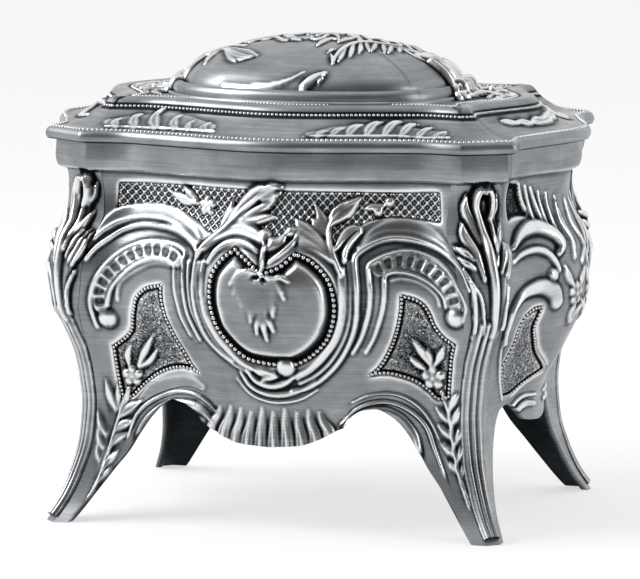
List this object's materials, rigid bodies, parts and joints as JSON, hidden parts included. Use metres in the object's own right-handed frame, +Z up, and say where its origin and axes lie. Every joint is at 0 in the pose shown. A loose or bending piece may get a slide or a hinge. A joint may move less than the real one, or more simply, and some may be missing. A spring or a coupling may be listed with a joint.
{
  "type": "rosary box",
  "caption": "Cast metal keepsake box with bulging serpentine walls, flared legs, scroll and leaf relief, velvet lining and a hinged domed lid.",
  "frame": {"origin": "on the floor under the middle of the box", "axes": "+X to the box's right as seen from the front, -Y out of the front, +Z up"},
  "size_m": [0.146, 0.118, 0.1259],
  "materials": {
    "antique_metal": "antiqued pewter-coloured plate on cast zinc alloy, satin brushed with dark patina in the grooves",
    "hinge_metal": "satin",
    "velvet": "short pile velvet on card"
  },
  "bodies": {
    "box": {"front_panel": "antique_metal", "back_panel": "antique_metal", "left_panel": "antique_metal", "right_panel": "antique_metal", "corner_casting_front_left": "antique_metal", "corner_casting_front_right": "antique_metal", "corner_casting_back_left": "antique_metal", "corner_casting_back_right": "antique_metal", "floor_plate": "antique_metal", "hinge_body_leaf": "hinge_metal", "hinge_pin": "hinge_metal", "floor_lining": "velvet", "front_lining": "velvet", "back_lining": "velvet", "left_lining": "velvet", "right_lining": "velvet"},
    "lid": {"lid": "antique_metal", "hinge_lid_leaf": "hinge_metal", "lid_lining": "velvet"}
  },
  "joints": [
    {"name": "lid_hinge", "type": "hinge", "parent": "box", "child": "lid", "pos_m": [0, 0.05345, 0.10043], "axis": [-1, 0, 0], "range_deg": [0, 105]}
  ]
}
